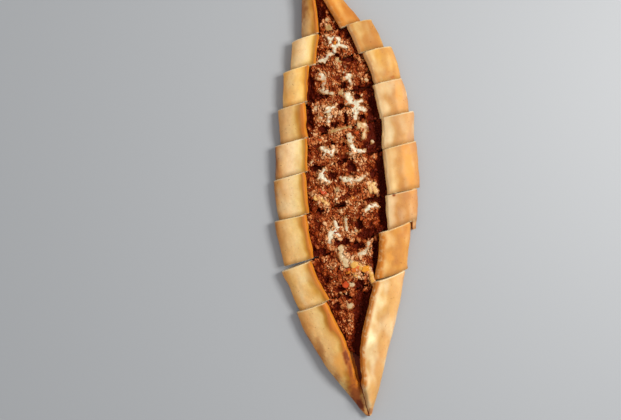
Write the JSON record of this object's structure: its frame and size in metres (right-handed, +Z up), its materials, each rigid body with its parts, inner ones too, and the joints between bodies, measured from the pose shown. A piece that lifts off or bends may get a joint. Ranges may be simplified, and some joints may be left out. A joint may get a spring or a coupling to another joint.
{
  "type": "turkish pide",
  "caption": "Boat-shaped Turkish flatbread with folded browned sides, filled with minced meat and melted cheese, cut across into slices that keep the boat's shape.",
  "frame": {"origin": "middle of the bread's box, on the surface that its underside lies on", "axes": "+Z up, +Y along the bread towards the tip that has the shorter end slice, +X to the right when +Y points away"},
  "size_m": [0.1532, 0.45, 0.0248],
  "materials": {
    "crust": "baked bread dough, golden tan with browned edges and an oil-stained folded edge",
    "filling": "oily cooked minced meat crumbs",
    "cheese": "melted white cheese, soft sheen",
    "pepper": "soft roast pepper, oily"
  },
  "bodies": {
    "root": {"dough_1": "crust", "dough_2": "crust", "dough_3": "crust", "dough_4": "crust", "dough_5": "crust", "dough_6": "crust", "dough_7": "crust", "dough_8": "crust", "dough_9": "crust", "filling_1": "filling", "filling_2": "filling", "filling_3": "filling", "filling_4": "filling", "filling_5": "filling", "filling_6": "filling", "filling_7": "filling", "filling_8": "filling", "filling_9": "filling", "cheese_1": "cheese", "cheese_2": "cheese", "cheese_3": "cheese", "cheese_4": "cheese", "cheese_5": "cheese", "cheese_6": "cheese", "cheese_7": "cheese", "cheese_8": "cheese", "cheese_9": "cheese", "cheese_10": "cheese", "cheese_11": "cheese", "cheese_12": "cheese", "cheese_13": "cheese", "cheese_14": "cheese", "cheese_15": "cheese", "cheese_16": "cheese", "cheese_17": "cheese", "cheese_18": "cheese", "cheese_19": "cheese", "cheese_20": "cheese", "cheese_21": "cheese", "cheese_22": "cheese", "pepper_1": "pepper", "pepper_2": "pepper"}
  },
  "joints": []
}
